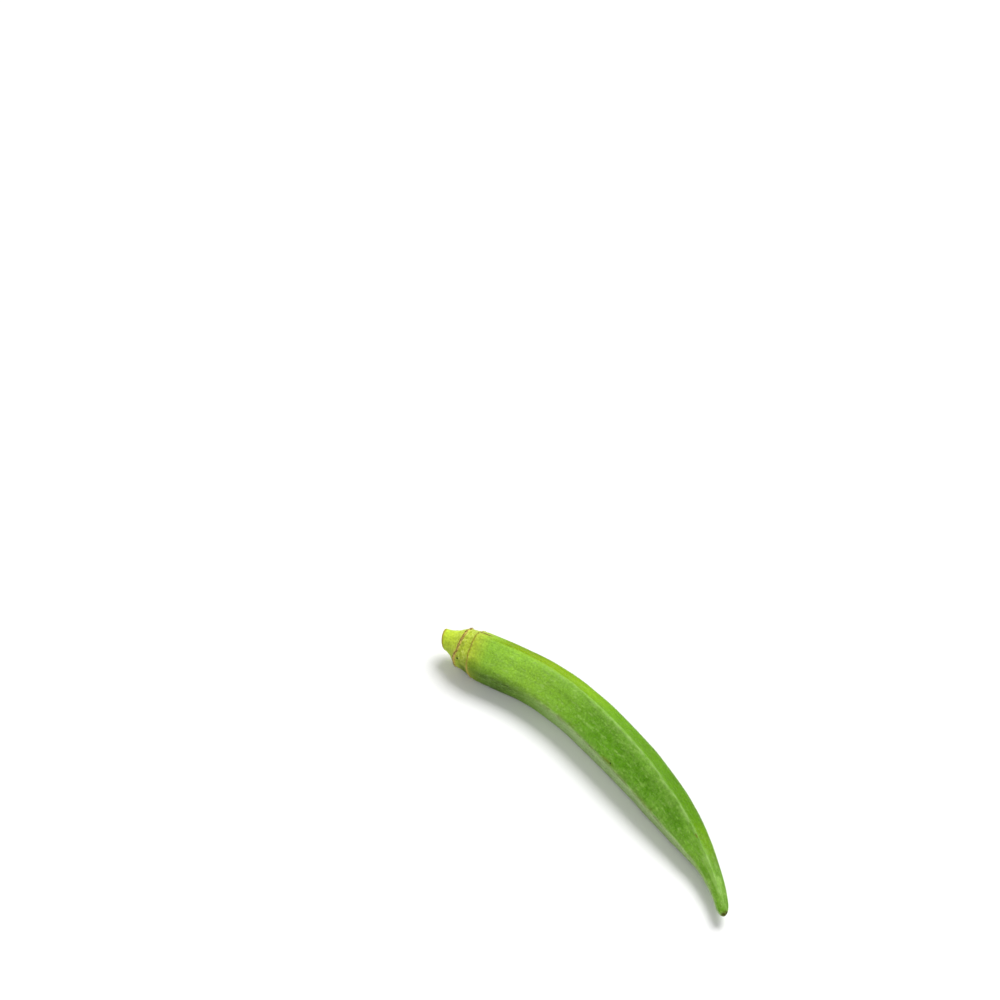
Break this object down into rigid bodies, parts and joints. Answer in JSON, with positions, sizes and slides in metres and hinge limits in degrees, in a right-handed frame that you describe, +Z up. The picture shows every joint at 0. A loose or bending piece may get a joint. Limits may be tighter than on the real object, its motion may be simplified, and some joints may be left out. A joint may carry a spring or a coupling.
{
  "type": "okra pod",
  "caption": "Curved five-ridged okra pod with a tapering blunt beak, two calyx scar rings and a short flared stalk stub, lying on its side.",
  "frame": {"origin": "middle of the pod's footprint on the surface it lies on", "axes": "+X along the pod from the cut stalk to the tip of the beak, +Z up"},
  "size_m": [0.1422, 0.0288, 0.0164],
  "materials": {
    "pod_skin": "fresh green skin with a fine velvety down, paler along the ridges, yellow-green at the cap and stalk, tan scar rings"
  },
  "bodies": {
    "root": {"okra_pod": "pod_skin"}
  },
  "joints": []
}
